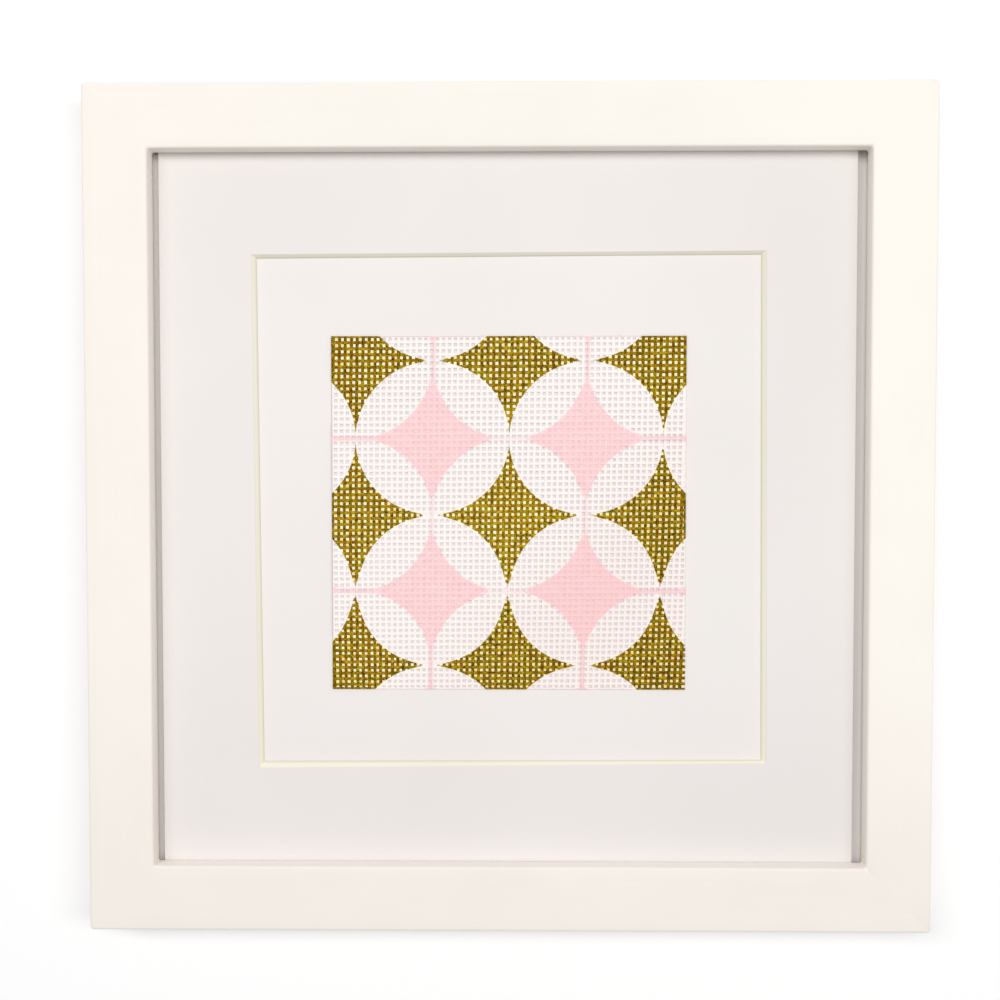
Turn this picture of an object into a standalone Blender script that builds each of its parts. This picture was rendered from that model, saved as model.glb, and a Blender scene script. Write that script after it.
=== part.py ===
"""A square of painted needlepoint canvas, float-mounted on a board in a mat and a picture frame.

The piece lies on its back. The origin is at the middle of the underside, +Z is the way the
canvas faces, +Y is the top of the picture and +X its right. Units are metres.
"""

import math

import bmesh
import bpy

# The frame: four mitred rails with a lip in front of the boards and a rabbet behind it.
FRAME_WIDTH = 0.2820
FRAME_HEIGHT = 0.2826
FRAME_DEPTH = 0.0190
RAIL_WIDTH = 0.0217
LIP_WIDTH = 0.0060
LIP_THICKNESS = 0.0072
EDGE_RADIUS = 0.0008
EDGE_STEPS = 4

# The clearance that every piece keeps to the next, and boards keep to the rabbet.
GAP = 0.0003
BOARD_CLEARANCE = 0.0004

# The stack of boards behind the lip, front to back.
MAT_THICKNESS = 0.0015
MOUNT_THICKNESS = 0.0030
BACKING_THICKNESS = 0.0025

# The mat is cut narrow: it stops short of the lip at both sides, and runs under it above and below.
MAT_SHORT_LEFT = 0.0019
MAT_SHORT_RIGHT = 0.0031

# The window, hand cut at 45 degrees through the mat, and its lean over its own height.
WINDOW_WIDTH = 0.1729
WINDOW_HEIGHT = 0.1731
WINDOW_CENTRE = (0.0003, -0.0012)
WINDOW_LEAN = 0.0011

# The canvas: woven threads at an even pitch, cut to a square.
THREADS_PER_SIDE = 60
THREAD_PITCH = 0.001993
CANVAS_THICKNESS = 0.0011
CANVAS_CENTRE = (-0.0001, -0.0013)

# Heights above the underside that follow from the sizes above.
LIP_BACK_Z = FRAME_DEPTH - LIP_THICKNESS
MAT_TOP_Z = LIP_BACK_Z - GAP
MAT_BACK_Z = MAT_TOP_Z - MAT_THICKNESS
MOUNT_TOP_Z = MAT_BACK_Z - GAP
MOUNT_BACK_Z = MOUNT_TOP_Z - MOUNT_THICKNESS
BACKING_TOP_Z = MOUNT_BACK_Z - GAP
BACKING_BACK_Z = BACKING_TOP_Z - BACKING_THICKNESS
CANVAS_BACK_Z = MOUNT_TOP_Z + GAP

# The space between the rabbets of opposite rails, and the opening between opposite lips.
RABBET_WIDTH = FRAME_WIDTH - 2 * (RAIL_WIDTH - LIP_WIDTH)
RABBET_HEIGHT = FRAME_HEIGHT - 2 * (RAIL_WIDTH - LIP_WIDTH)
SIGHT_WIDTH = FRAME_WIDTH - 2 * RAIL_WIDTH

PAINT_WHITE = (0.93, 0.90, 0.86)
MAT_WHITE = (0.87, 0.84, 0.82)
BOARD_WHITE = (0.88, 0.86, 0.84)
HARDBOARD_BROWN = (0.36, 0.24, 0.14)
CANVAS_WHITE = (0.92, 0.88, 0.85)


def clear_scene():
    for thing in list(bpy.data.objects):
        bpy.data.objects.remove(thing, do_unlink=True)


def material(name, colour, roughness):
    made = bpy.data.materials.new(name)
    made.use_nodes = True
    shader = made.node_tree.nodes["Principled BSDF"]
    shader.inputs["Base Color"].default_value = (*colour, 1.0)
    shader.inputs["Roughness"].default_value = roughness
    shader.inputs["Metallic"].default_value = 0.0
    return made


def solid(name, points, faces, finish):
    """One object with the given points and faces, its normals turned outwards."""
    mesh = bpy.data.meshes.new(name)
    mesh.from_pydata(points, [], faces)
    work = bmesh.new()
    work.from_mesh(mesh)
    bmesh.ops.recalc_face_normals(work, faces=work.faces)
    work.to_mesh(mesh)
    work.free()
    mesh.materials.append(finish)
    thing = bpy.data.objects.new(name, mesh)
    bpy.context.scene.collection.objects.link(thing)
    return thing


def slab(name, low, high, finish):
    """A flat board between two corners."""
    (x0, y0, z0), (x1, y1, z1) = low, high
    outline = [(x0, y0), (x1, y0), (x1, y1), (x0, y1)]
    points = [(x, y, z) for z in (z0, z1) for x, y in outline]
    faces = [(0, 1, 2, 3), (4, 5, 6, 7)]
    faces += [(i, (i + 1) % 4, 4 + (i + 1) % 4, 4 + i) for i in range(4)]
    return solid(name, points, faces, finish)


def quarter_round(centre, start_deg):
    """Points of a rounded edge, from start_deg round a quarter turn anticlockwise."""
    turns = [math.radians(start_deg + 90 * step / EDGE_STEPS) for step in range(EDGE_STEPS + 1)]
    return [(centre[0] + EDGE_RADIUS * math.cos(a), centre[1] + EDGE_RADIUS * math.sin(a)) for a in turns]


def rail_section():
    """The rail's section: distance in from the outer side, and height above the underside."""
    rabbet = RAIL_WIDTH - LIP_WIDTH
    section = [(0.0, 0.0), (rabbet, 0.0), (rabbet, LIP_BACK_Z), (RAIL_WIDTH, LIP_BACK_Z)]
    section += quarter_round((RAIL_WIDTH - EDGE_RADIUS, FRAME_DEPTH - EDGE_RADIUS), 0)
    section += quarter_round((EDGE_RADIUS, FRAME_DEPTH - EDGE_RADIUS), 90)
    return section


def rail(name, length, reach, turn_deg, finish):
    """A mitred rail: its outer side is reach from the middle, and turn_deg takes it to its side of the frame."""
    section = rail_section()
    mitre_cut = GAP / 2 * math.sqrt(2)
    points = []
    for end in (-1, 1):
        points += [(end * (length / 2 - inward - mitre_cut), inward - reach, z) for inward, z in section]
    count = len(section)
    faces = [tuple(range(count)), tuple(range(count, 2 * count))]
    faces += [(i, (i + 1) % count, count + (i + 1) % count, count + i) for i in range(count)]
    thing = solid(name, points, faces, finish)
    thing.rotation_euler = (0.0, 0.0, math.radians(turn_deg))
    return thing


def frame_rails():
    paint = material("white_paint", PAINT_WHITE, 0.45)
    rail("frame_bottom", FRAME_WIDTH, FRAME_HEIGHT / 2, 0, paint)
    rail("frame_right", FRAME_HEIGHT, FRAME_WIDTH / 2, 90, paint)
    rail("frame_top", FRAME_WIDTH, FRAME_HEIGHT / 2, 180, paint)
    rail("frame_left", FRAME_HEIGHT, FRAME_WIDTH / 2, 270, paint)


def board_corners(z0, z1):
    """Opposite corners of a board that fills the rabbet between two heights."""
    half_x = RABBET_WIDTH / 2 - BOARD_CLEARANCE
    half_y = RABBET_HEIGHT / 2 - BOARD_CLEARANCE
    return (-half_x, -half_y, z0), (half_x, half_y, z1)


def window_corners(shrink):
    """The window's corners, anticlockwise from bottom left, drawn in by shrink on every side."""
    half_x = WINDOW_WIDTH / 2 - shrink
    half_y = WINDOW_HEIGHT / 2 - shrink
    corners = []
    for side_x, side_y in ((-1, -1), (1, -1), (1, 1), (-1, 1)):
        lean = -side_y * WINDOW_LEAN / 2
        corners.append((WINDOW_CENTRE[0] + side_x * half_x + lean, WINDOW_CENTRE[1] + side_y * half_y))
    return corners


def window_mat():
    """The mat: a flat board whose window slopes in at 45 degrees from front to back."""
    (_, y0, _), (_, y1, _) = board_corners(0.0, 0.0)
    x0 = -SIGHT_WIDTH / 2 + MAT_SHORT_LEFT
    x1 = SIGHT_WIDTH / 2 - MAT_SHORT_RIGHT
    outline = [(x0, y0), (x1, y0), (x1, y1), (x0, y1)]
    rings = [
        [(x, y, MAT_BACK_Z) for x, y in outline],
        [(x, y, MAT_TOP_Z) for x, y in outline],
        [(x, y, MAT_TOP_Z) for x, y in window_corners(0.0)],
        [(x, y, MAT_BACK_Z) for x, y in window_corners(MAT_THICKNESS)],
    ]
    points = [point for ring in rings for point in ring]
    faces = []
    for ring in range(4):
        for i in range(4):
            here, there = 4 * ring, 4 * ((ring + 1) % 4)
            faces.append((here + i, here + (i + 1) % 4, there + (i + 1) % 4, there + i))
    return solid("window_mat", points, faces, material("mat_board", MAT_WHITE, 0.85))


def boards():
    slab("mount_board", *board_corners(MOUNT_BACK_Z, MOUNT_TOP_Z), material("mount_board", BOARD_WHITE, 0.85))
    slab(
        "backing_board",
        *board_corners(BACKING_BACK_Z, BACKING_TOP_Z),
        material("hardboard", HARDBOARD_BROWN, 0.8),
    )


def canvas():
    """The canvas itself, one flat sheet: its holes are too small to cut through."""
    half = THREADS_PER_SIDE * THREAD_PITCH / 2
    x, y = CANVAS_CENTRE
    low = (x - half, y - half, CANVAS_BACK_Z)
    high = (x + half, y + half, CANVAS_BACK_Z + CANVAS_THICKNESS)
    slab("needlepoint_canvas", low, high, material("cotton_canvas", CANVAS_WHITE, 0.9))


clear_scene()
frame_rails()
window_mat()
boards()
canvas()
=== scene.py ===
import math

import bmesh
import bpy
import numpy as np
from mathutils import Euler, Matrix, Vector


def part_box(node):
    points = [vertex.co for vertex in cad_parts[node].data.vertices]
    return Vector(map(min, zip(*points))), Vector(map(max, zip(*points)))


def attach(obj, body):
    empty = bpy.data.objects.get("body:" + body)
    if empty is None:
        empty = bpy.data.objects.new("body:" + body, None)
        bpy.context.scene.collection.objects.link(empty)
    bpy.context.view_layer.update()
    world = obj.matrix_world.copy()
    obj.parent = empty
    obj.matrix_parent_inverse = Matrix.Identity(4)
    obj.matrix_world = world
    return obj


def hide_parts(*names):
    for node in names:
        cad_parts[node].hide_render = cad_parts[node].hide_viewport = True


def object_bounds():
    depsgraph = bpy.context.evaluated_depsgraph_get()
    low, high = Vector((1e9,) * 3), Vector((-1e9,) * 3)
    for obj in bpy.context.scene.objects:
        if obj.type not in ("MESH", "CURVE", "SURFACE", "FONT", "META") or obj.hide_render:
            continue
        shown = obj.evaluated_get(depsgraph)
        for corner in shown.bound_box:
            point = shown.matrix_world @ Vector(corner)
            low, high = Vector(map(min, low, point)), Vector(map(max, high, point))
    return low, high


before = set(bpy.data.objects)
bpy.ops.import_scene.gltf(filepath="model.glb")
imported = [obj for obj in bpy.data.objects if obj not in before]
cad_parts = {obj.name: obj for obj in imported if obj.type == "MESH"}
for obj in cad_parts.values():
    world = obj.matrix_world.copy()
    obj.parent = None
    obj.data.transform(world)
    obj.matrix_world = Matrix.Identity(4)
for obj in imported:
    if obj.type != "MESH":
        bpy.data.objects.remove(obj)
cad_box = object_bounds()

MM = 0.001
X, Y, Z = range(3)

# What the camera sees: the piece face on, from a little above its middle.
CAMERA_PLACE = (0.0031, 0.0205, 0.4690)
CAMERA_TILT_DEG = (2.15, -0.76, -0.01)
CAMERA_LENS = 48.91
SENSOR_WIDTH = 36.0

# The one lamp is long and soft, and hangs beyond the top of the picture.
LAMP_PLACE = (0.12, 0.58, 2.13)
LAMP_SIZE = (4.2, 0.7)
LAMP_POWER = 44.5
SKY_STRENGTH = 0.46
FLOOR_HALF = 6.0
FLOOR_WHITE = 0.98

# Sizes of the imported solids.
RAILS = ("frame_top", "frame_bottom", "frame_left", "frame_right")
FRAME_LOW, FRAME_HIGH = (Vector(corner) for corner in cad_box)
FRAME_HALF = (FRAME_HIGH - FRAME_LOW) / 2
FRAME_DEPTH = FRAME_HIGH.z
RAIL_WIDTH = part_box("frame_left")[1].x + FRAME_HALF.x
LIP_THICKNESS = 7.2 * MM
LIP_WIDTH = 6.0 * MM
LIP_BACK = FRAME_DEPTH - LIP_THICKNESS
LIP_WALL_Y = RAIL_WIDTH - FRAME_HALF.y
RABBET = RAIL_WIDTH - LIP_WIDTH
EDGE_ROUND = 0.9 * MM
BOARD_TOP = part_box("mount_board")[1].z


def new_object(name, data):
    made = bpy.data.objects.new(name, data)
    bpy.context.scene.collection.objects.link(made)
    return made


def smooth_but_for(mesh, sharp_deg):
    """Smooth shading, but for edges sharper than sharp_deg."""
    mesh.shade_smooth()
    mesh.set_sharp_from_angle(angle=math.radians(sharp_deg))


# Materials are node trees, built with the helpers below. Each takes values or sockets to link.
def new_material(name):
    made = bpy.data.materials.new(name)
    made.use_nodes = True
    return made, made.node_tree, made.node_tree.nodes["Principled BSDF"]


def node(tree, kind, inputs=(), **settings):
    """A node with its settings made and its inputs given as values or as sockets to link."""
    made = tree.nodes.new(kind)
    for key, value in settings.items():
        setattr(made, key, value)
    for key, value in dict(inputs).items():
        if isinstance(value, bpy.types.NodeSocket):
            tree.links.new(value, made.inputs[key])
        else:
            made.inputs[key].default_value = value
    return made


def maths(tree, operation, *values):
    return node(tree, "ShaderNodeMath", enumerate(values), operation=operation).outputs[0]


def vector_maths(tree, operation, *values):
    return node(tree, "ShaderNodeVectorMath", enumerate(values), operation=operation).outputs[0]


def along_axis(tree, vector, axis):
    return node(tree, "ShaderNodeSeparateXYZ", {0: vector}).outputs[axis]


def apart(tree, vector):
    """A vector's first two parts."""
    made = node(tree, "ShaderNodeSeparateXYZ", {0: vector})
    return made.outputs[X], made.outputs[Y]


def flat_vector(tree, x, y):
    return node(tree, "ShaderNodeCombineXYZ", {0: x, 1: y}).outputs[0]


def length(tree, x, y):
    made = node(tree, "ShaderNodeVectorMath", {0: flat_vector(tree, x, y)}, operation="LENGTH")
    return made.outputs["Value"]


def noise(tree, place, scale, detail=2.0, roughness=0.5):
    settings = {"Vector": place, "Scale": scale, "Detail": detail, "Roughness": roughness}
    return node(tree, "ShaderNodeTexNoise", settings).outputs["Fac"]


def stretched_noise(tree, place, scales, detail, roughness=0.5):
    """Noise with a scale of its own along each axis."""
    return noise(tree, vector_maths(tree, "MULTIPLY", place, scales), 1.0, detail, roughness)


def blended(tree, first, second, share):
    """A value made of a share of the first and the rest of the second."""
    rest = maths(tree, "MULTIPLY", second, 1.0 - share)
    return maths(tree, "ADD", maths(tree, "MULTIPLY", first, share), rest)


def scaled(tree, value, factor):
    return maths(tree, "MULTIPLY", value, factor)


def step(tree, value, low, high):
    """0 at low and 1 at high, smooth between and flat beyond. Low may be the greater."""
    settings = {"Value": value, "From Min": low, "From Max": high}
    made = node(tree, "ShaderNodeMapRange", settings, interpolation_type="SMOOTHSTEP")
    return made.outputs["Result"]


def spread(tree, value, low, high):
    """A 0 to 1 value taken to low to high."""
    made = node(tree, "ShaderNodeMapRange", {"Value": value, "To Min": low, "To Max": high})
    return made.outputs["Result"]


def ramp(tree, value, stops):
    """A colour ramp through (position, colour) stops."""
    made = node(tree, "ShaderNodeValToRGB", {0: value})
    elements = made.color_ramp.elements
    while len(elements) < len(stops):
        elements.new(0.5)
    for element, (position, colour) in zip(elements, stops):
        element.position = position
        element.color = (*colour, 1.0)
    return made.outputs["Color"]


def mix(tree, share, low, high, blend="MIX"):
    """A colour between low and high, each a colour or a socket.

    With blend MULTIPLY, high is a tone that low is multiplied by.
    """
    made = tree.nodes.new("ShaderNodeMix")
    made.data_type = "RGBA"
    made.blend_type = blend
    for key, value in ((0, share), (6, low), (7, high)):
        if isinstance(value, bpy.types.NodeSocket):
            tree.links.new(value, made.inputs[key])
        else:
            made.inputs[key].default_value = value if key == 0 else (*value, 1.0)
    return made.outputs[2]


def object_place(tree):
    return node(tree, "ShaderNodeTexCoord").outputs["Object"]


def attribute(tree, name, output):
    return node(tree, "ShaderNodeAttribute", attribute_name=name).outputs[output]


def surface(tree, shader, colour, roughness, relief, rise, strength):
    """Gives a shader its colour, its roughness, and a relief of at most that rise."""
    tree.links.new(colour, shader.inputs["Base Color"])
    tree.links.new(roughness, shader.inputs["Roughness"])
    made = node(tree, "ShaderNodeBump", {"Height": relief, "Distance": rise, "Strength": strength})
    tree.links.new(made.outputs["Normal"], shader.inputs["Normal"])


PAINT_WHITE = [(0.30, (0.884, 0.840, 0.778)), (0.70, (0.914, 0.870, 0.810))]
PAINT_STREAKS = (18.0, 900.0, 900.0)
PAINT_PATCHES = 45.0
ORANGE_PEEL = 900.0
# Painted light and shade: along each side the white is multiplied by a tone, lighter at the left and
# right and darker at the bottom, as the light falls there.
NO_TONE = (1.0, 1.0, 1.0)
PAINTED_LIGHT_AT_LEFT = (1.018, 1.010, 1.010)
PAINTED_LIGHT_AT_RIGHT = (1.034, 1.034, 1.034)
PAINTED_SHADE_AT_BOTTOM = (0.984, 0.967, 0.961)
SIDE_LIGHT_FROM = 0.04
SIDE_LIGHT_TO = 0.13
# Painted light: the wall of the lower lip, which faces the lamp, is made whiter.
PAINTED_LIGHT_ON_LOWER_LIP = (1.105, 1.110, 1.130)
# Each rail's places for its wood and paint start this far on from those of the rail before.
RAIL_PLACE_STRIDE = 0.4


def paint_material():
    """Satin white paint, sprayed and rubbed down, with faint streaks along each rail."""
    made, tree, shader = new_material("white_satin_paint")
    place = attribute(tree, "rail_place", "Vector")
    streaks = stretched_noise(tree, place, PAINT_STREAKS, 3.0)
    patches = noise(tree, place, PAINT_PATCHES, 3.0)
    orange_peel = noise(tree, place, ORANGE_PEEL)
    colour = ramp(tree, blended(tree, streaks, patches, 0.35), PAINT_WHITE)
    right, up = apart(tree, object_place(tree))
    # Painted light at the left and right of the frame, and painted shade at its bottom.
    side_light = mix(tree, step(tree, right, -SIDE_LIGHT_FROM, -SIDE_LIGHT_TO), NO_TONE, PAINTED_LIGHT_AT_LEFT)
    side_light = mix(tree, step(tree, right, SIDE_LIGHT_FROM, SIDE_LIGHT_TO), side_light, PAINTED_LIGHT_AT_RIGHT)
    side_light = mix(tree, step(tree, up, -SIDE_LIGHT_FROM, -SIDE_LIGHT_TO), side_light, PAINTED_SHADE_AT_BOTTOM)
    colour = vector_maths(tree, "MULTIPLY", colour, side_light)
    rail_right, rail_up = apart(tree, place)
    # Painted light on the wall of the lower lip.
    on_lip = step(tree, rail_up, LIP_WALL_Y - EDGE_ROUND / 2, LIP_WALL_Y - 0.05 * MM)
    on_lower_rail = maths(tree, "LESS_THAN", rail_right, RAIL_PLACE_STRIDE / 2)
    on_lower_lip = maths(tree, "MULTIPLY", on_lip, on_lower_rail)
    colour = mix(tree, on_lower_lip, colour, PAINTED_LIGHT_ON_LOWER_LIP, "MULTIPLY")
    shader.inputs["Specular IOR Level"].default_value = 0.30
    relief = blended(tree, streaks, orange_peel, 0.6)
    surface(tree, shader, colour, spread(tree, patches, 0.48, 0.62), relief, 0.06 * MM, 0.6)
    return made


WOOD_BROWNS = [(0.30, (0.42, 0.27, 0.14)), (0.52, (0.60, 0.43, 0.25)), (0.72, (0.72, 0.56, 0.36))]
WOOD_GRAIN = (12.0, 420.0, 420.0)
WOOD_RINGS = (4.0, 130.0, 130.0)


def bare_wood_material():
    """Pale softwood on the back of the rails and in the rabbet."""
    made, tree, shader = new_material("bare_softwood")
    place = attribute(tree, "rail_place", "Vector")
    grain = stretched_noise(tree, place, WOOD_GRAIN, 4.0, 0.6)
    rings = stretched_noise(tree, place, WOOD_RINGS, 2.0)
    colour = ramp(tree, blended(tree, grain, rings, 0.45), WOOD_BROWNS)
    surface(tree, shader, colour, spread(tree, grain, 0.60, 0.78), grain, 0.12 * MM, 0.7)
    return made


FIBRE_BROWNS = [(0.32, (0.13, 0.075, 0.038)), (0.52, (0.24, 0.145, 0.075)),
                (0.74, (0.34, 0.225, 0.13))]
FIBRE_FLECKS = (500.0, 900.0, 700.0)
FIBRE_CLOUDS = 30.0


def hardboard_material():
    """Smooth brown pressed fibre, flecked."""
    made, tree, shader = new_material("pressed_hardboard")
    place = object_place(tree)
    flecks = stretched_noise(tree, place, FIBRE_FLECKS, 4.0, 0.7)
    clouds = noise(tree, place, FIBRE_CLOUDS, 3.0)
    colour = ramp(tree, blended(tree, flecks, clouds, 0.6), FIBRE_BROWNS)
    surface(tree, shader, colour, spread(tree, flecks, 0.42, 0.62), flecks, 0.1 * MM, 0.6)
    return made


# Each paper's darkest and lightest colour.
MAT_FACE = ((0.828, 0.784, 0.760), (0.852, 0.810, 0.786))
MAT_CORE = ((0.88, 0.83, 0.68), (0.93, 0.88, 0.74))
BOARD_FACE = ((0.845, 0.806, 0.780), (0.870, 0.832, 0.806))
PAPER_DRIFT = 14.0
FACE_FIBRES = 1500.0
CORE_FIBRES = 2600.0
# Painted shade: the faces are darker towards the right and the bottom.
FACE_PAINTED_SHADE = [(X, 0.02, 0.12, (0.966, 0.968, 0.968)), (Y, -0.02, -0.12, (0.962, 0.960, 0.962))]
# Painted shade: the mat's core is darker at the foot of the window's bevel, where the corner lies in
# shade.
SHADED_CORE = (0.735, 0.680, 0.545)
SHADED_CORE_RISE = 0.8 * MM
# Right of the mat a strip of the mounting board lies bare. Painted shade greys it, and painted light
# brightens it again just short of the lip's wall, against the shade under the lip.
PAINTED_SHADE_BOARD = (0.732, 0.699, 0.690)
PAINTED_LIGHT_BOARD = (0.940, 0.905, 0.885)
BARE_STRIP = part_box("window_mat")[1].x
LIP_WALL_X = FRAME_HALF.x - RAIL_WIDTH
BARE_STRIP_SHADE_AND_LIGHT = [(X, BARE_STRIP - 1 * MM, BARE_STRIP + 1 * MM, PAINTED_SHADE_BOARD),
                (X, LIP_WALL_X - 1.4 * MM, LIP_WALL_X - 0.2 * MM, PAINTED_LIGHT_BOARD)]


def paper_material(name, colours, fibre_scale, tones=(), turns=()):
    """Matte paper or board: fine fibres, and a slow drift of tone.

    Each of tones and turns is (axis, start, end, colour): from start to end along the axis the
    paper's colour is multiplied by a tone, or gives way to a turn.
    """
    made, tree, shader = new_material(name)
    place = object_place(tree)
    drift = noise(tree, place, PAPER_DRIFT)
    fibres = noise(tree, place, fibre_scale, 3.0, 0.6)
    darkest, lightest = colours
    colour = ramp(tree, blended(tree, drift, fibres, 0.75), [(0.32, darkest), (0.68, lightest)])
    for blend, changes in (("MULTIPLY", tones), ("MIX", turns)):
        for axis, start, end, other in changes:
            share = step(tree, along_axis(tree, place, axis), start, end)
            colour = mix(tree, share, colour, other, blend)
    shader.inputs["Specular IOR Level"].default_value = 0.25
    surface(tree, shader, colour, spread(tree, fibres, 0.80, 0.95), fibres, 0.05 * MM, 0.5)
    return made


def loop_faces(loops, count):
    """Quads that join loops of count points each into a ring, and the last loop to the first."""
    faces = []
    for loop in range(loops):
        here, there = loop * count, (loop + 1) % loops * count
        for i in range(count):
            j = (i + 1) % count
            faces.append((here + i, here + j, there + j, there + i))
    return faces


# The frame is one painted ring: its section is swept round four mitred corners.
CORNER_STEPS = 4
SIDE_STEPS = 28
EDGE_STEPS = 5
FACE_POINTS = (0.78, 0.5, 0.22)
OUTER_CORNER_ROUND = 1.1 * MM
INNER_CORNER_ROUND = 0.8 * MM
LEAST_ROUND = 0.02 * MM
EASE = 0.3 * MM
FOOT_EASE = 0.4 * MM
FACE_DIP = 0.03 * MM


def turned(x, y, turn_deg):
    turn = math.radians(turn_deg)
    return x * math.cos(turn) - y * math.sin(turn), x * math.sin(turn) + y * math.cos(turn)


def quarter(centre, start_deg):
    """Points of a rounded edge of the section, from start_deg a quarter turn on."""
    points = []
    for i in range(EDGE_STEPS + 1):
        right, up = turned(EDGE_ROUND, 0.0, start_deg + 90 * i / EDGE_STEPS)
        points.append((centre[0] + right, centre[1] + up))
    return points


def frame_section():
    """The section's points as (inward, height, bare).

    Bare marks the stretch from a point to the next as unpainted wood.
    """
    bare = [(FOOT_EASE, 0.0), (RABBET - EASE, 0.0), (RABBET, EASE), (RABBET, LIP_BACK)]
    painted = [(RAIL_WIDTH - EASE, LIP_BACK), (RAIL_WIDTH, LIP_BACK + EASE)]
    painted += quarter((RAIL_WIDTH - EDGE_ROUND, FRAME_DEPTH - EDGE_ROUND), 0)
    painted += [(RAIL_WIDTH * share, FRAME_DEPTH) for share in FACE_POINTS]
    painted += quarter((EDGE_ROUND, FRAME_DEPTH - EDGE_ROUND), 90)
    painted += [(0.0, FRAME_DEPTH / 2), (0.0, FOOT_EASE)]
    return [(inward, z, True) for inward, z in bare] + [(inward, z, False) for inward, z in painted]


def corner_round(inward):
    """The radius of a corner at a distance in: full at both sides of the rail, tiny between."""
    outer = OUTER_CORNER_ROUND - inward
    inner = INNER_CORNER_ROUND - (RAIL_WIDTH - inward)
    return max(outer, inner, LEAST_ROUND)


def ring_places(inward):
    """Points round the frame at one distance in, as (x, y, side, along).

    They run anticlockwise from the left end of the bottom.
    """
    radius = corner_round(inward)
    places = []
    for side in range(4):
        run, reach = (FRAME_HALF.x, FRAME_HALF.y) if side % 2 == 0 else (FRAME_HALF.y, FRAME_HALF.x)
        run -= inward + radius
        reach -= inward
        local = [(-run + 2 * run * i / SIDE_STEPS, -reach) for i in range(SIDE_STEPS + 1)]
        for i in range(1, CORNER_STEPS):
            right, up = turned(0.0, -radius, 90 * i / CORNER_STEPS)
            local.append((run + right, radius - reach + up))
        places += [(*turned(x, y, 90 * side), side, x) for x, y in local]
    return places


def painted_frame():
    section = frame_section()
    rings = [ring_places(inward) for inward, _, _ in section]
    around = len(rings[0])
    points = []
    for (inward, z, _), ring in zip(section, rings):
        on_face = z > FRAME_DEPTH - 0.1 * LIP_THICKNESS
        for x, y, side, along in ring:
            # The rubbed-down face is a hair uneven.
            wave = math.sin(along * 61 + side * 2.1) * math.sin(along * 23 + inward * 190 + side)
            points.append((x, y, z + FACE_DIP * wave if on_face else z))
    faces = loop_faces(len(section), around)
    mesh = bpy.data.meshes.new("painted_frame")
    mesh.from_pydata(points, [], faces)
    mesh.materials.append(paint_material())
    mesh.materials.append(bare_wood_material())
    bare_faces = [int(bare) for _, _, bare in section for _ in range(around)]
    mesh.polygons.foreach_set("material_index", bare_faces)
    # Places along each rail, for its streaks and grain: every rail is turned to lie at the bottom.
    place = mesh.attributes.new("rail_place", "FLOAT_VECTOR", "CORNER")
    values = []
    for number, face in enumerate(mesh.polygons):
        ring, i = divmod(number, around)
        side = rings[ring][i][2]
        for corner in face.vertices:
            x, y, z = points[corner]
            along, outward = turned(x, y, -90 * side)
            values += [along + side * RAIL_PLACE_STRIDE, outward, z]
    place.data.foreach_set("vector", values)
    smooth_but_for(mesh, 32)
    mesh.flip_normals()
    made = new_object("painted_frame", mesh)
    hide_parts(*RAILS)
    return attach(made, "root")


# The mat: a ring between its outer edge and the slanting window.
MAT_STEPS = 24
MAT_FACE_RINGS = 6
MAT_WAVE = 0.05 * MM
MAT_BACK = BOARD_TOP + 0.03 * MM
PAPER_PLY = 0.22 * MM
CUT_EDGE_SPREAD = 0.08 * MM
CUT_EDGE_DROP = 0.03 * MM
CUT_EDGE_SHARE = 0.045
BEVEL_FOOT_SHARE = 0.9
WINDOW_REACH = 100 * MM
SAME_LEVEL = 0.01 * MM
# For each corner of the window, in millimetres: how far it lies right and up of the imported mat's,
# and how far the bevel runs in from it across and upright.
WINDOW_CORNERS = {
    (-1, -1): (0.58, -0.27, 1.58, 2.10),
    (1, -1): (-0.10, 1.68, 1.70, 1.00),
    (1, 1): (-0.10, 1.30, 1.55, 1.08),
    (-1, 1): (0.17, 0.36, 1.58, 1.08),
}


def window_corners(front_level):
    """The window's corners at the front and at the back of the mat, anticlockwise.

    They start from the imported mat's. The window is hand cut: its top and bottom rise a little to
    the right, and its bevel isn't even.
    """
    vertices = [v.co.copy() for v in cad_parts["window_mat"].data.vertices]
    packed = [p for p in vertices if abs(p.x) < WINDOW_REACH and abs(p.z - front_level) < SAME_LEVEL]
    front, back = [], []
    for (side_x, side_y), sizes in WINDOW_CORNERS.items():
        right, up, run_x, run_y = (size * MM for size in sizes)
        corner = [p for p in packed if p.x * side_x > 0 and p.y * side_y > 0][0]
        corner += Vector((right, up, 0.0))
        front.append(corner)
        back.append(Vector((corner.x - side_x * run_x, corner.y - side_y * run_y, MAT_BACK)))
    return front, back


def subdivided(corners):
    """Points along a closed quad, evenly spaced on each side."""
    points = []
    for start, end in zip(corners, [*corners[1:], corners[0]]):
        points += [start.lerp(end, k / MAT_STEPS) for k in range(MAT_STEPS)]
    return points


def between(outer, inner, share):
    return [a.lerp(b, share) for a, b in zip(outer, inner)]


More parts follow.
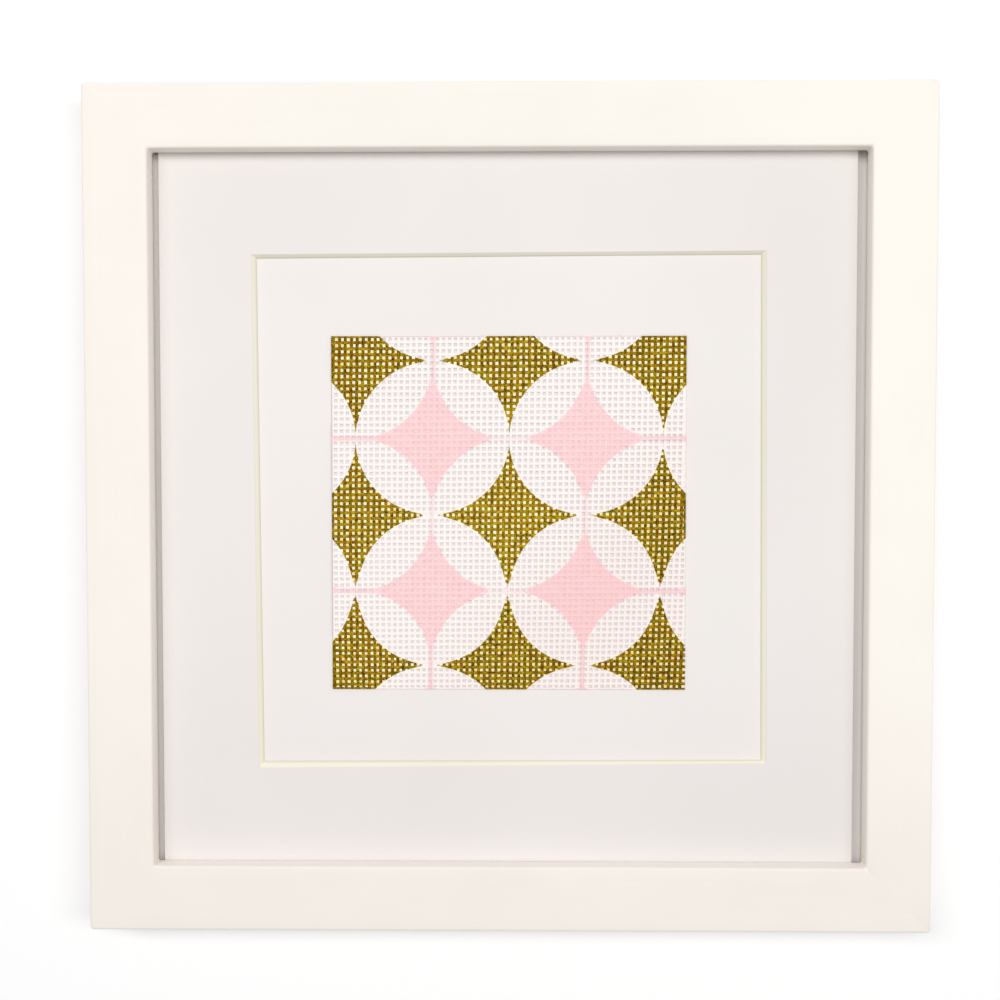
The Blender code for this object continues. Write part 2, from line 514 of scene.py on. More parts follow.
def mat_loops():
    """The mat's loops of points from its outer back edge round to its window's back edge.

    Each is (points, core): core marks the faces from this loop to the next as bare core.
    """
    low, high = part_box("window_mat")
    front, back = window_corners(high.z)
    outline = [(low.x, low.y), (high.x, low.y), (high.x, high.y), (low.x, high.y)]
    outer_back = subdivided([Vector((x, y, MAT_BACK)) for x, y in outline])
    outer_front = subdivided([Vector((x, y, high.z)) for x, y in outline])
    window_front, window_back = subdivided(front), subdivided(back)
    loops = [(outer_back, True), (outer_front, False)]
    for k in range(1, MAT_FACE_RINGS):
        ring = between(outer_front, window_front, k / MAT_FACE_RINGS)
        for point in ring:
            point.z += MAT_WAVE * (math.sin(point.x * 31 + 0.7) * math.sin(point.y * 27 + 1.1) - 0.6)
        loops.append((ring, False))
    # The cut edge of the face paper is a little rounded over, and a ply below it the core starts.
    edge = [b + (a - b).normalized() * CUT_EDGE_SPREAD for a, b in zip(outer_front, window_front)]
    for point in edge:
        point.z = min(point.z, high.z)
    turned_down = between(window_front, window_back, CUT_EDGE_SHARE)
    for point in turned_down:
        point.z -= CUT_EDGE_DROP
    ply_share = PAPER_PLY / (high.z - MAT_BACK)
    return loops + [
        (edge, False),
        (turned_down, False),
        (between(window_front, window_back, ply_share), True),
        (between(window_front, window_back, BEVEL_FOOT_SHARE), True),
        (window_back, False),
    ]


def window_mat():
    loops = mat_loops()
    count = len(loops[0][0])
    mesh = bpy.data.meshes.new("cut_mat")
    mesh.from_pydata([tuple(p) for loop, _ in loops for p in loop], [], loop_faces(len(loops), count))
    work = bmesh.new()
    work.from_mesh(mesh)
    bmesh.ops.recalc_face_normals(work, faces=work.faces)
    work.to_mesh(mesh)
    work.free()
    smooth_but_for(mesh, 25)
    mesh.materials.append(paper_material("mat_face_paper", MAT_FACE, FACE_FIBRES, tones=FACE_PAINTED_SHADE))
    # Painted shade at the foot of the bevel.
    foot = (Z, MAT_BACK + SHADED_CORE_RISE, MAT_BACK, SHADED_CORE)
    mesh.materials.append(paper_material("mat_cream_core", MAT_CORE, CORE_FIBRES, turns=[foot]))
    core_faces = [int(core) for _, core in loops for _ in range(count)]
    mesh.polygons.foreach_set("material_index", core_faces)
    made = new_object("cut_mat", mesh)
    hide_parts("window_mat")
    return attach(made, "root")


def flat_board(name, node_name, steps, edge, wave, finish):
    """A board with eased edges, its faces divided and a hair uneven."""
    low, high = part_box(node_name)
    work = bmesh.new()
    bmesh.ops.create_grid(work, x_segments=steps, y_segments=steps, size=0.5)
    made = bmesh.ops.extrude_face_region(work, geom=list(work.faces))
    for v in made["geom"]:
        if isinstance(v, bmesh.types.BMVert):
            v.co.z = 1.0
    for v in work.verts:
        v.co = low + (v.co + Vector((0.5, 0.5, 0.0))) * (high - low)
    rims = [e for e in work.edges if len(e.link_faces) == 2 and e.calc_face_angle(0.0) > 1.0]
    bmesh.ops.bevel(work, geom=rims, offset=edge, segments=2, affect="EDGES", profile=0.5)
    for v in work.verts:
        x, y, _ = v.co
        if min(x - low.x, high.x - x, y - low.y, high.y - y) > 2 * edge:
            v.co.z -= wave * (1 + math.sin(x * 29 + 0.4) * math.sin(y * 33 + 2.0)) / 2
    bmesh.ops.recalc_face_normals(work, faces=work.faces)
    mesh = bpy.data.meshes.new(name)
    work.to_mesh(mesh)
    work.free()
    smooth_but_for(mesh, 40)
    mesh.materials.append(finish)
    board = new_object(name, mesh)
    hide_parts(node_name)
    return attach(board, "root")


# The canvas: about sixty warp and sixty weft threads, over and under by turns, cut from a wider
# piece. It lies on the mounting board. Places on it are in pitches from its top left corner,
# across and down.
CANVAS_LOW, CANVAS_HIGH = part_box("needlepoint_canvas")
CANVAS_SIZE = CANVAS_HIGH.x - CANVAS_LOW.x
CANVAS_MIDDLE = (CANVAS_LOW + CANVAS_HIGH) / 2
CANVAS_SEAT = 0.04 * MM
PITCH = 1.998 * MM
CANVAS_PITCHES = CANVAS_SIZE / PITCH
WARP, WEFT = 0, 1
FIRST_WARP = 0.405
FIRST_WEFT = -0.034
THREAD_SECTION = ((1.0, 0.0), (0.74, 1.0), (-0.74, 1.0), (-1.0, 0.0), (-0.74, -1.0), (0.74, -1.0))
THREAD_SIDES = len(THREAD_SECTION)
THREAD_HALF_WIDTH = 0.286 * PITCH
THREAD_HALF_THICKNESS = 0.195 * MM
WEAVE_RISE = 0.035 * MM
WEAVE_LEVEL = BOARD_TOP + CANVAS_SEAT + THREAD_HALF_THICKNESS + WEAVE_RISE
EDGE_THREAD_INSET = 0.04
EDGE_THREAD_REACH = 1.0 - EDGE_THREAD_INSET
LEAST_PLACES = 4
CUT_SEARCHES = 12
SHOULDER = 0.30
SHOULDER_RISE = 0.70
SEED = 7

# Threads are uneven: each wanders, leans and is a little fatter or thinner than the next.
WANDER = 0.030
LEAN_SPREAD = 0.010
FATNESS_SPREAD = 0.03
SWELL_ALONG = 0.04
SWELL_ON_TOP = 0.03
SWELL_UNDER_GOLD = 1.01

# The canvas was pulled a little out of square before it was cut: drift in pitches from the middle
# to a side.
WARP_SHIFT = -0.30
WARP_LEAN = -0.42
WARP_BEND = -0.30
WEFT_BOW = 0.68
WEFT_SHIFT = -0.04
WEFT_TILT = -0.20


def drifted(u, v):
    """Where a place on a true square weave lies on this one."""
    half = CANVAS_PITCHES / 2
    s, t = (u - half) / half, (v - half) / half
    bow = math.cos(math.pi / 2 * t)
    across = WARP_SHIFT + WARP_LEAN * t * (1 + s) + WARP_BEND * s * t * t
    down = WEFT_SHIFT + WEFT_BOW * bow + WEFT_TILT * s * (1 + bow) / 2
    return u + across, v + down


def from_middle(u, v):
    """A place on the canvas in metres right and up from its middle."""
    return (u - CANVAS_PITCHES / 2) * PITCH, (CANVAS_PITCHES / 2 - v) * PITCH


def in_scene(u, v):
    return CANVAS_LOW.x + u * PITCH, CANVAS_HIGH.y - v * PITCH


def held_on_canvas(x, y, inset=0.0):
    """A place in the scene, held within the canvas's sides less an inset."""
    x = min(max(x, CANVAS_LOW.x + inset), CANVAS_HIGH.x - inset)
    y = min(max(y, CANVAS_LOW.y + inset), CANVAS_HIGH.y - inset)
    return x, y


def drawn_in(across):
    """A thread's place across the canvas: one that runs on the cut is bound in along the edge."""
    far = CANVAS_PITCHES - EDGE_THREAD_INSET
    if -EDGE_THREAD_REACH < across < EDGE_THREAD_INSET:
        return EDGE_THREAD_INSET
    if far < across < CANVAS_PITCHES + EDGE_THREAD_REACH:
        return far
    return across


def thread_rings(first_crossing, parity):
    """Rings along one thread of a true weave, as (way along, rise).

    It passes over at a crossing whose number and parity agree.
    """
    rings = []
    for k in range(-1, math.ceil(CANVAS_PITCHES) + 2):
        at = first_crossing + k
        if (k + parity) % 2 == 0:
            rings += [(at - SHOULDER, SHOULDER_RISE), (at, 1.0), (at + SHOULDER, SHOULDER_RISE)]
        else:
            rings.append((at, -1.0))
    return rings


def cut_path(places):
    """The stretch of a path of (u, v, rise) on the cut canvas, with its ends on the cut."""
    def inside(place):
        return 0.0 <= place[0] <= CANVAS_PITCHES and 0.0 <= place[1] <= CANVAS_PITCHES

    def on_cut(kept, lost):
        low, high = 0.0, 1.0
        for _ in range(CUT_SEARCHES):
            middle = (low + high) / 2
            place = [a + (b - a) * middle for a, b in zip(kept, lost)]
            low, high = (middle, high) if inside(place) else (low, middle)
        return [a + (b - a) * low for a, b in zip(kept, lost)]

    held = [n for n, place in enumerate(places) if inside(place)]
    if len(held) < LEAST_PLACES:
        return []
    first, last = held[0], held[-1]
    start = on_cut(places[first], places[first - 1])
    end = on_cut(places[last], places[last + 1])
    return [start, *places[first:last + 1], end]


def thread_faces(base, rings, flipped):
    """Quads round a thread whose points start at number base, and a cap at each end."""
    faces = []
    for ring in range(rings - 1):
        start = base + ring * THREAD_SIDES
        for k in range(THREAD_SIDES):
            a, b = start + k, start + (k + 1) % THREAD_SIDES
            faces.append((a, b, b + THREAD_SIDES, a + THREAD_SIDES))
    last = base + (rings - 1) * THREAD_SIDES
    faces.append(tuple(base + k for k in reversed(range(THREAD_SIDES))))
    faces.append(tuple(last + k for k in range(THREAD_SIDES)))
    return [face[::-1] for face in faces] if flipped else faces


def weave():
    """All threads as one mesh: its points, its faces, and marks for each point.

    The marks are its thread's family, how far along the thread it lies, its share of the turn
    round the thread, and the thread's number.
    """
    random = np.random.default_rng(SEED)
    points, faces, marks = [], [], []
    for family, first, crossing in ((WARP, FIRST_WARP, FIRST_WEFT), (WEFT, FIRST_WEFT, FIRST_WARP)):
        for index in range(-1, math.ceil(CANVAS_PITCHES) + 1):
            phase = random.uniform(0, 2 * math.pi, 3)
            fatness = 1 + random.normal(0, FATNESS_SPREAD)
            lean = random.normal(0, LEAN_SPREAD)
            places = []
            for at, rise in thread_rings(crossing, index + family):
                sway = math.sin(at * 0.23 + phase[0]) * 0.6 + math.sin(at * 0.61 + phase[1]) * 0.4
                across = first + index + WANDER * sway + lean
                u, v = drifted(across, at) if family == WARP else drifted(at, across)
                places.append((drawn_in(u), v, rise) if family == WARP else (u, drawn_in(v), rise))
            path = cut_path(places)
            if not path:
                continue
            faces += thread_faces(len(points), len(path), family == WEFT)
            for u, v, rise in path:
                along = v if family == WARP else u
                swell = fatness * (1 + SWELL_ALONG * math.sin(along * 1.7 + phase[2]))
                swell *= 1 + SWELL_ON_TOP * rise
                # The gold lies a little thicker on the threads than the white and the pink.
                if gold_depth(*from_middle(u, v)) > 0:
                    swell *= SWELL_UNDER_GOLD
                for k, (sideways, upward) in enumerate(THREAD_SECTION):
                    x, y = in_scene(u, v)
                    side = THREAD_HALF_WIDTH * swell * sideways
                    if family == WARP:
                        x += side
                    else:
                        y -= side
                    z = WEAVE_LEVEL + rise * WEAVE_RISE + THREAD_HALF_THICKNESS * upward
                    # A thread that the cut splits lengthways keeps only its inner part.
                    points.append((*held_on_canvas(x, y), z))
                    marks.append((family, along, k / THREAD_SIDES, index + 1))
    return points, faces, np.array(marks)


# The pattern of overlapping circles, in the canvas's own plane, measured from its middle.
# Gold lies outside every circle round a pink middle, and pink outside every circle round a gold
# middle. The paint stops a little short in the narrow tips, where two circles meet: a circle's
# reach is softened there.
REPEAT = Vector((51.75 * MM, 51.6 * MM))
PINK_CENTRE = Vector((-25.95 * MM, 25.20 * MM))
GOLD_CENTRE = Vector((-0.10 * MM, -0.65 * MM))
# The rows of circles were drawn larger and smaller by turns.
GOLD_CIRCLE = 25.45 * MM
GOLD_CIRCLE_SWING = 0.46 * MM
GOLD_SOFTENING = 3.0 * MM
GOLD_SOFTENING_SWING = -2.8 * MM
SWING_TURN = math.pi / REPEAT.y
# Circles round middles beyond the canvas's corners weren't drawn, so gold fills the corners.
GOLD_CORNER = CANVAS_SIZE / 2 - 3 * MM
PINK_CIRCLE = 25.72 * MM
PINK_SOFTENING = 4.8 * MM
# As painted, the pattern bows up, leans right at the top and fans out.
PATTERN_BOW = 0.8 * MM
PATTERN_LEAN = 0.77 * MM
PATTERN_FAN = 0.37 * MM
# Edges bleed, the pink ones most.
EDGE_BLEED = 0.16 * MM
PINK_BLEED_SHARE = 5.0
BLEED_GRAIN = 1400.0
GOLD_EDGE = 0.1 * MM
PINK_EDGE = 0.4 * MM
STAIN_REACH = 0.45 * MM
STAIN_GAP = (2.4 * MM, 4.2 * MM)
# Thin pink lines run on from the pink tips.
UPRIGHT_LINE = 0.85 * MM
LEVEL_LINE = 1.05 * MM
UPRIGHT_LINE_LEAST = 0.50
LEVEL_LINE_LEAST = 0.28
LINE_MOST = 0.85


def smooth_least(a, b, reach):
    """The lesser of two numbers, rounded off where they are within reach, as the node does it."""
    closeness = max(reach - abs(a - b), 0.0) / reach
    return min(a, b) - closeness ** 3 * reach / 6


def circle_distance(x, y, centre, softening):
    """Softened distance from a place to the nearest centre of a lattice of circles."""
    dx = abs((x - centre.x + REPEAT.x / 2) % REPEAT.x - REPEAT.x / 2)
    dy = abs((y - centre.y + REPEAT.y / 2) % REPEAT.y - REPEAT.y / 2)
    near = smooth_least(math.hypot(dx, dy), math.hypot(REPEAT.x - dx, dy), softening)
    return smooth_least(near, math.hypot(dx, REPEAT.y - dy), softening)


def squared(x, y):
    """The place on the true pattern that was painted at a place."""
    height = 2 * y / CANVAS_SIZE
    lean = PATTERN_LEAN + PATTERN_FAN * 2 * x / CANVAS_SIZE
    return x - height * lean, y - PATTERN_BOW * height ** 2


def gold_depth(x, y):
    """How far inside the gold a place lies."""
    in_corner = min(abs(x), abs(y)) - GOLD_CORNER
    x, y = squared(x, y)
    swing = math.sin(y * SWING_TURN)
    softening = GOLD_SOFTENING + GOLD_SOFTENING_SWING * swing
    circle = GOLD_CIRCLE + GOLD_CIRCLE_SWING * swing
    return max(circle_distance(x, y, PINK_CENTRE, softening) - circle, in_corner)


def pink_depth(x, y):
    """How far inside the pink a place lies."""
    return circle_distance(*squared(x, y), GOLD_CENTRE, PINK_SOFTENING) - PINK_CIRCLE


def wrapped_place(tree, place, centre):
    """How far right and up a place lies from its nearest lattice centre, never negative."""
    half = (REPEAT.x / 2, REPEAT.y / 2, 1.0)
    moved = vector_maths(tree, "SUBTRACT", place, (centre.x, centre.y, 0.0))
    wrapped = vector_maths(tree, "WRAP", moved, half, tuple(-v for v in half))
    return apart(tree, vector_maths(tree, "ABSOLUTE", wrapped))


def circle_distance_nodes(tree, place, centre, softening):
    """circle_distance as nodes."""
    dx, dy = wrapped_place(tree, place, centre)
    far_x = maths(tree, "SUBTRACT", REPEAT.x, dx)
    far_y = maths(tree, "SUBTRACT", REPEAT.y, dy)
    near = maths(tree, "SMOOTH_MIN", length(tree, dx, dy), length(tree, far_x, dy), softening)
    return maths(tree, "SMOOTH_MIN", near, length(tree, dx, far_y), softening)


def squared_nodes(tree, place):
    """squared as nodes."""
    right, up = apart(tree, place)
    height = scaled(tree, up, 2 / CANVAS_SIZE)
    lean = maths(tree, "MULTIPLY_ADD", right, PATTERN_FAN * 2 / CANVAS_SIZE, PATTERN_LEAN)
    true_right = maths(tree, "SUBTRACT", right, maths(tree, "MULTIPLY", height, lean))
    bow = scaled(tree, maths(tree, "MULTIPLY", height, height), PATTERN_BOW)
    return flat_vector(tree, true_right, maths(tree, "SUBTRACT", up, bow))


def gold_depth_nodes(tree, place, true_place, bleed):
    """gold_depth as nodes, with an edge that bleeds."""
    in_corner = maths(tree, "MINIMUM", *apart(tree, vector_maths(tree, "ABSOLUTE", place)))
    in_corner = maths(tree, "SUBTRACT", in_corner, GOLD_CORNER)
    _, up = apart(tree, true_place)
    swing = maths(tree, "SINE", scaled(tree, up, SWING_TURN))
    softening = maths(tree, "MULTIPLY_ADD", swing, GOLD_SOFTENING_SWING, GOLD_SOFTENING)
    circle = maths(tree, "MULTIPLY_ADD", swing, GOLD_CIRCLE_SWING, GOLD_CIRCLE)
    distance = circle_distance_nodes(tree, true_place, PINK_CENTRE, softening)
    depth = maths(tree, "ADD", maths(tree, "SUBTRACT", distance, circle), bleed)
    return maths(tree, "MAXIMUM", depth, in_corner)


def pink_lines(tree, place, dx, dy, bleed):
    """The thin pink lines, faint at the middle of the canvas and full at its edges."""
    farthest = maths(tree, "MAXIMUM", *apart(tree, vector_maths(tree, "ABSOLUTE", place)))
    outward = step(tree, farthest, CANVAS_SIZE * 0.20, CANVAS_SIZE * 0.42)
    shares = []
    for off, width, least in ((dx, UPRIGHT_LINE, UPRIGHT_LINE_LEAST),
                              (dy, LEVEL_LINE, LEVEL_LINE_LEAST)):
        off_line = step(tree, maths(tree, "ADD", off, bleed), 0.5 * width, 1.3 * width)
        on_line = maths(tree, "SUBTRACT", 1.0, off_line)
        shares.append(maths(tree, "MULTIPLY", on_line, spread(tree, outward, least, LINE_MOST)))
    return maths(tree, "MAXIMUM", *shares)


def pattern_masks(tree, place):
    """Shares of gold, of the pale stain at its edge, and of pink at a place."""
    grain = maths(tree, "SUBTRACT", noise(tree, place, BLEED_GRAIN), 0.5)
    bleed = scaled(tree, grain, 2 * EDGE_BLEED)
    true_place = squared_nodes(tree, place)
    in_gold = gold_depth_nodes(tree, place, true_place, bleed)
    gold = step(tree, in_gold, -GOLD_EDGE, GOLD_EDGE)
    dx, dy = wrapped_place(tree, true_place, PINK_CENTRE)
    off_tip = step(tree, maths(tree, "MINIMUM", dx, dy), *STAIN_GAP)
    stain = maths(tree, "MULTIPLY", step(tree, in_gold, -STAIN_REACH, 0.0), off_tip)
    distance = circle_distance_nodes(tree, true_place, GOLD_CENTRE, PINK_SOFTENING)
    distance = maths(tree, "ADD", distance, scaled(tree, bleed, PINK_BLEED_SHARE))
    pink = step(tree, distance, PINK_CIRCLE - PINK_EDGE, PINK_CIRCLE + PINK_EDGE)
    lines = pink_lines(tree, true_place, dx, dy, bleed)
    return gold, stain, maths(tree, "MAXIMUM", pink, lines)


CANVAS_WHITE = [(0.30, (0.958, 0.886, 0.862)), (0.70, (0.996, 0.932, 0.910))]
SHADED_WHITE = (0.958, 0.846, 0.814)
PINK_PAINT = [(0.35, (0.935, 0.618, 0.628)), (0.65, (0.988, 0.722, 0.732))]
SHADED_PINK = (0.940, 0.580, 0.590)
PALE_STAIN = (0.960, 0.880, 0.600)
EDGE_PINK = (0.780, 0.590, 0.580)
EDGE_PINK_REACH = (0.18 * MM, 0.42 * MM)
GOLD_PAINT = [(0.378, (0.050, 0.017, 0.0002)), (0.443, (0.170, 0.082, 0.0004)),
              (0.508, (0.385, 0.235, 0.001)), (0.588, (0.660, 0.455, 0.008))]
OLIVE = (0.215, 0.205, 0.003)
COPPER = (0.300, 0.125, 0.002)
FINE_GRAIN = 2300.0
COARSE_GRAIN = 620.0
TINT_GRAIN = 950.0
FILM_GRAIN = 600.0
# Painted light and shade on the gold: brighter on the weft, darker outward and most at the lower right.
WEFT_PAINTED_LIGHT = 0.05
CORNER_SHADE = 0.018
OUTWARD_SHADE = 0.026
FILM_CREAM = [(0.38, (0.84, 0.720, 0.330)), (0.62, (1.00, 0.955, 0.720))]
SHADED_CREAM = (0.800, 0.680, 0.270)
FILM_PINK = [(0.30, (0.850, 0.520, 0.535)), (0.70, (0.940, 0.630, 0.640))]


def canvas_place(tree):
    """Object coordinates measured from the middle of the canvas."""
    return vector_maths(tree, "SUBTRACT", object_place(tree), tuple(CANVAS_MIDDLE))


def along_top_and_left(tree, place):
    """1 on the canvas's top and left cuts, 0 a thread's breadth in from them."""
    right, up = apart(tree, place)
    nearest = maths(tree, "MINIMUM", right, scaled(tree, up, -1.0))
    inward = maths(tree, "ADD", nearest, CANVAS_SIZE / 2)
    return maths(tree, "SUBTRACT", 1.0, step(tree, inward, *EDGE_PINK_REACH))


def shade_towards_lower_right(tree, place):
    """0 over most of the canvas, 1 at its lower right, where painted shade darkens it."""
    right, up = apart(tree, place)
    return step(tree, maths(tree, "SUBTRACT", right, up), 0.0, 0.5 * CANVAS_SIZE)


def gold_paint(tree, place, grain, corner):
    """The colour of the gold: mottled from brown to bright, with olive and copper patches."""
    weft = attribute(tree, "weft", "Fac")
    tint = noise(tree, place, TINT_GRAIN, 1.0)
    # Painted light on the weft, and painted shade outward and at the lower right.
    lift = scaled(tree, maths(tree, "SUBTRACT", weft, 0.5), WEFT_PAINTED_LIGHT)
    outward = scaled(tree, length(tree, *apart(tree, place)), 2 / CANVAS_SIZE)
    painted_shade = scaled(tree, outward, OUTWARD_SHADE)
    painted_shade = maths(tree, "ADD", scaled(tree, corner, CORNER_SHADE), painted_shade)
    lifted = maths(tree, "SUBTRACT", maths(tree, "ADD", grain, lift), painted_shade)
    colour = ramp(tree, lifted, GOLD_PAINT)
    colour = mix(tree, scaled(tree, step(tree, tint, 0.50, 0.62), 0.45), colour, OLIVE)
    return mix(tree, scaled(tree, step(tree, tint, 0.49, 0.39), 0.60), colour, COPPER)


def canvas_material():
    """Cotton threads under paint: white, pink and a mottled olive gold."""
    made, tree, shader = new_material("painted_canvas_threads")
    place = canvas_place(tree)
    gold, stain, pink = pattern_masks(tree, place)
    corner = shade_towards_lower_right(tree, place)
    fine = noise(tree, place, FINE_GRAIN)
    grain = blended(tree, fine, noise(tree, place, COARSE_GRAIN), 0.6)
    # Painted shade: the white and the pink darken towards the lower right.
    white = mix(tree, scaled(tree, corner, 0.8), ramp(tree, fine, CANVAS_WHITE), SHADED_WHITE)
    white = mix(tree, scaled(tree, along_top_and_left(tree, place), 0.85), white, EDGE_PINK)
    rose = mix(tree, scaled(tree, corner, 0.5), ramp(tree, grain, PINK_PAINT), SHADED_PINK)
    colour = mix(tree, scaled(tree, stain, 0.75), white, PALE_STAIN)
    colour = mix(tree, pink, colour, rose)
    colour = mix(tree, gold, colour, gold_paint(tree, place, grain, corner))
    tree.links.new(spread(tree, gold, 0.30, 0.04), shader.inputs["Specular IOR Level"])
    uv = node(tree, "ShaderNodeUVMap", uv_map="thread").outputs["UV"]
    twist_settings = {"Vector": uv, "Scale": 0.55, "Distortion": 1.2, "Detail": 1.0}
    twist = node(tree, "ShaderNodeTexWave", twist_settings, wave_type="BANDS", bands_direction="DIAGONAL")
    relief = blended(tree, twist.outputs["Fac"], fine, 0.5)
    surface(tree, shader, colour, spread(tree, gold, 0.85, 0.60), relief, 0.06 * MM, 0.6)
    return made


def film_material():
    """Dried paint that bridges holes: pink in the pink figures, cream in the gold ones."""
    made, tree, shader = new_material("paint_film")
    place = canvas_place(tree)
    gold, _, pink = pattern_masks(tree, place)
    spots = noise(tree, place, FILM_GRAIN)
    # Painted shade: the cream darkens towards the lower right.
    corner = scaled(tree, shade_towards_lower_right(tree, place), 0.45)
    cream = mix(tree, corner, ramp(tree, spots, FILM_CREAM), SHADED_CREAM)
    colour = mix(tree, gold, CANVAS_WHITE[0][1], cream)
    colour = mix(tree, pink, colour, ramp(tree, spots, FILM_PINK))
    surface(tree, shader, colour, spread(tree, spots, 0.45, 0.65), spots, 0.06 * MM, 0.5)
    return made


# How the threads lie in their two maps, in shares of a map or of a thread's strip of it.
TWIST_PER_PITCH = 2.0
TWIST_ROUND = 1.3
TWIST_PER_THREAD = 0.37
MAP_MARGIN = 0.01
STRIP_MARGIN = 0.06


def add_uv_layer(mesh, name, across, upright):
    layer = mesh.uv_layers.new(name=name)
    places = np.stack([across, upright], axis=1)
    layer.data.foreach_set("uv", places.astype(np.float32).ravel())
    return layer


def lay_out_threads(mesh, marks):
    """Two maps of the threads: one for their twist, and one for baking with all of them side by side."""
    corner_vertices = np.empty(len(mesh.loops), np.int32)
    mesh.loops.foreach_get("vertex_index", corner_vertices)
    family, along, turn, thread = marks[corner_vertices].T
    starts = np.empty(len(mesh.polygons), np.int32)
    totals = np.empty(len(mesh.polygons), np.int32)
    mesh.polygons.foreach_get("loop_start", starts)
    mesh.polygons.foreach_get("loop_total", totals)
    # A face that closes the turn has corners at both 0 and 5/6 of it: those at 0 count as a full
    # turn.
    breadth = np.maximum.reduceat(turn, starts) - np.minimum.reduceat(turn, starts)
    closes = (breadth > 0.5) & (totals == 4)
    turn = np.where((turn == 0) & np.repeat(closes, totals), 1.0, turn)
    twist = turn * TWIST_ROUND + thread * TWIST_PER_THREAD
    own = add_uv_layer(mesh, "thread", along * TWIST_PER_PITCH, twist)
    strips = 2 * (marks[:, 3].max() + 1)
    strip = family * strips / 2 + thread
    lengthways = MAP_MARGIN + (1 - 2 * MAP_MARGIN) * along / CANVAS_PITCHES
    across = (strip + STRIP_MARGIN + (1 - 2 * STRIP_MARGIN) * turn) / strips
    add_uv_layer(mesh, "OFBake", lengthways, across)
    mesh.uv_layers.active = own


def woven_canvas():
    points, faces, marks = weave()
    mesh = bpy.data.meshes.new("woven_canvas")
    mesh.from_pydata(points, [], faces)
    mesh.shade_smooth()
    weft = mesh.attributes.new("weft", "FLOAT", "POINT")
    weft.data.foreach_set("value", marks[:, 0].astype(np.float32))
    lay_out_threads(mesh, marks)
    mesh.materials.append(canvas_material())
    made = new_object("woven_canvas", mesh)
    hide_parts("needlepoint_canvas")
    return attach(made, "root")


# Paint has dried to a skin in the holes of the pink and gold figures.
FILM_HALF = 0.36 * PITCH
FILM_EDGE_CLEARANCE = 0.20
FILM_EDGE_INSET = 0.10 * MM
FILM_EDGE_LIFT = 0.08 * MM
FILM_DIP = 0.03 * MM
FILM_DIP_RANGE = (0.6, 1.6)
FILM_THICKNESS = 0.06 * MM
FILM_PAST_GOLD = 0.10 * PITCH
FILM_WITHIN_PINK = 0.02 * PITCH
FILM_RIM = (0, 1, 2, 5, 8, 7, 6, 3)
FILM_POINTS = 9


def film_cells():
    """The holes that paint has bridged, as places in the scene."""
    cells = []
    for row in range(-1, math.ceil(CANVAS_PITCHES)):
        for column in range(-1, math.ceil(CANVAS_PITCHES) + 1):
            u, v = drifted(FIRST_WARP + column + 0.5, FIRST_WEFT + row + 0.5)
            if min(u, v, CANVAS_PITCHES - u, CANVAS_PITCHES - v) < FILM_EDGE_CLEARANCE:
                continue
            place = from_middle(u, v)
            if gold_depth(*place) > -FILM_PAST_GOLD or pink_depth(*place) > FILM_WITHIN_PINK:
                cells.append(in_scene(u, v))
    return cells


def paint_film():
    """A thin dished skin in each bridged hole, its edge under the threads round it."""
    random = np.random.default_rng(SEED + 1)
    points, faces = [], []
    for x, y in film_cells():
        base = len(points)
        sag = random.uniform(*FILM_DIP_RANGE)
        for layer in (0, 1):
            for j in (-1, 0, 1):
                for i in (-1, 0, 1):
                    dish = FILM_EDGE_LIFT if (i or j) else FILM_DIP * sag
                    place = held_on_canvas(x + i * FILM_HALF, y + j * FILM_HALF, FILM_EDGE_INSET)
                    points.append((*place, WEAVE_LEVEL + dish - layer * FILM_THICKNESS))
        for j in range(2):
            for i in range(2):
                a = base + 3 * j + i
                b = a + FILM_POINTS
                faces += [(a, a + 1, a + 4, a + 3), (b, b + 3, b + 4, b + 1)]
        for here, there in zip(FILM_RIM, (*FILM_RIM[1:], FILM_RIM[0])):
            a, b = base + here, base + there
            faces.append((b, a, a + FILM_POINTS, b + FILM_POINTS))
    mesh = bpy.data.meshes.new("paint_film")
    mesh.from_pydata(points, [], faces)
    smooth_but_for(mesh, 50)
    mesh.materials.append(film_material())
    made = new_object("paint_film", mesh)
    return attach(made, "root")


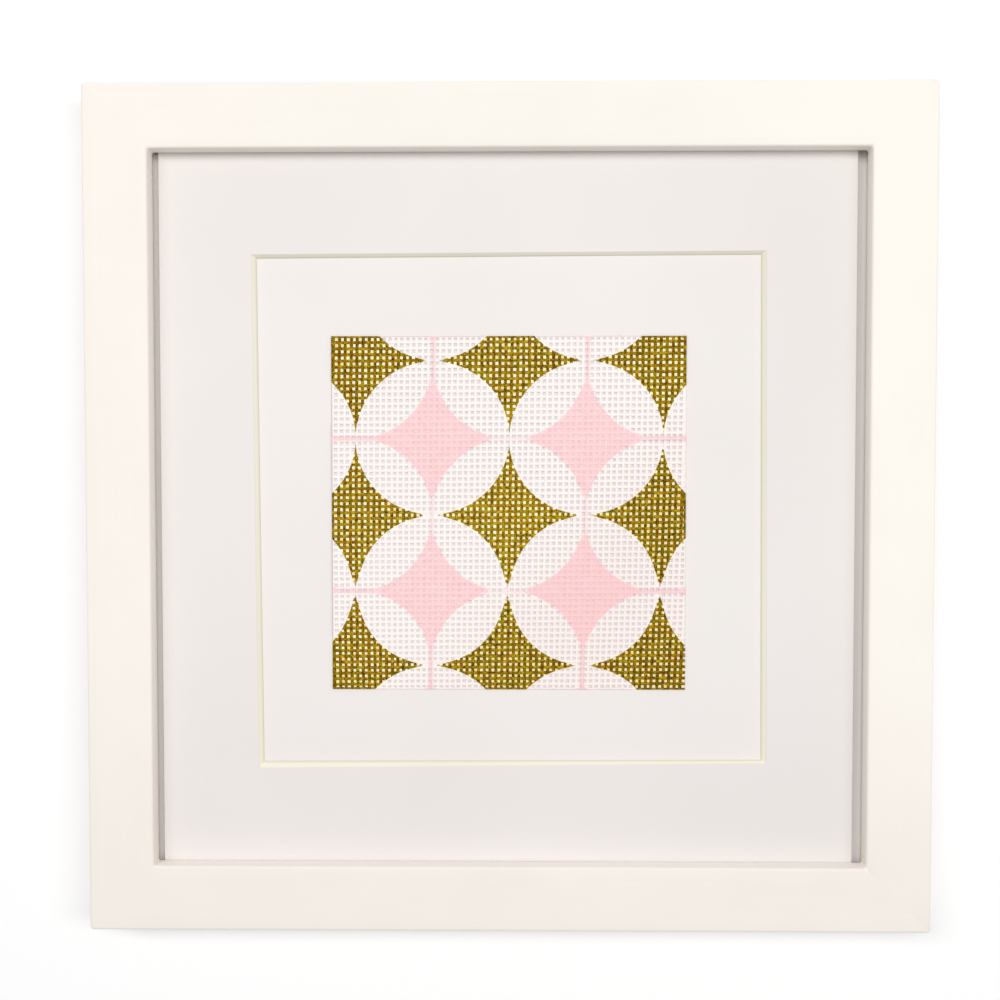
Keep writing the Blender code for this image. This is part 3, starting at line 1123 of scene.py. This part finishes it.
def studio():
    """A pale floor, a long soft lamp overhead, and even light from all round."""
    work = bmesh.new()
    bmesh.ops.create_grid(work, x_segments=1, y_segments=1, size=FLOOR_HALF)
    mesh = bpy.data.meshes.new("floor")
    work.to_mesh(mesh)
    work.free()
    floor = new_object("floor", mesh)
    made, _, shader = new_material("floor_white")
    shader.inputs["Base Color"].default_value = (FLOOR_WHITE, FLOOR_WHITE, FLOOR_WHITE, 1.0)
    shader.inputs["Roughness"].default_value = 0.9
    shader.inputs["Specular IOR Level"].default_value = 0.1
    mesh.materials.append(made)
    data = bpy.data.lights.new("overhead", "AREA")
    data.shape = "RECTANGLE"
    data.size, data.size_y = LAMP_SIZE
    data.energy = LAMP_POWER
    lamp = new_object("overhead", data)
    lamp.location = LAMP_PLACE
    lamp.rotation_euler = (-Vector(LAMP_PLACE)).to_track_quat("-Z", "Y").to_euler()
    world = bpy.data.worlds.new("studio")
    world.use_nodes = True
    background = world.node_tree.nodes["Background"]
    background.inputs["Color"].default_value = (1.0, 1.0, 1.0, 1.0)
    background.inputs["Strength"].default_value = SKY_STRENGTH
    bpy.context.scene.world = world
    bpy.context.scene.view_settings.view_transform = "Standard"
    bpy.context.scene.view_settings.look = "None"


def camera():
    data = bpy.data.cameras.new("camera")
    data.sensor_width = SENSOR_WIDTH
    data.lens = CAMERA_LENS
    made = new_object("camera", data)
    turn = Euler([math.radians(a) for a in CAMERA_TILT_DEG], "XYZ").to_matrix()
    made.matrix_world = Matrix.Translation(CAMERA_PLACE) @ turn.transposed().to_4x4()
    bpy.context.scene.camera = made


camera()
studio()
painted_frame()
window_mat()
# The board's face carries painted shade towards the right and the bottom, and painted shade and light on
# its bare strip.
board_face = paper_material("board_face_paper", BOARD_FACE, FACE_FIBRES, FACE_PAINTED_SHADE, BARE_STRIP_SHADE_AND_LIGHT)
flat_board("mounting_board", "mount_board", 24, 0.15 * MM, 0.06 * MM, board_face)
flat_board("hardboard_back", "backing_board", 12, 0.2 * MM, 0.05 * MM, hardboard_material())
canvas = woven_canvas()
film = paint_film()
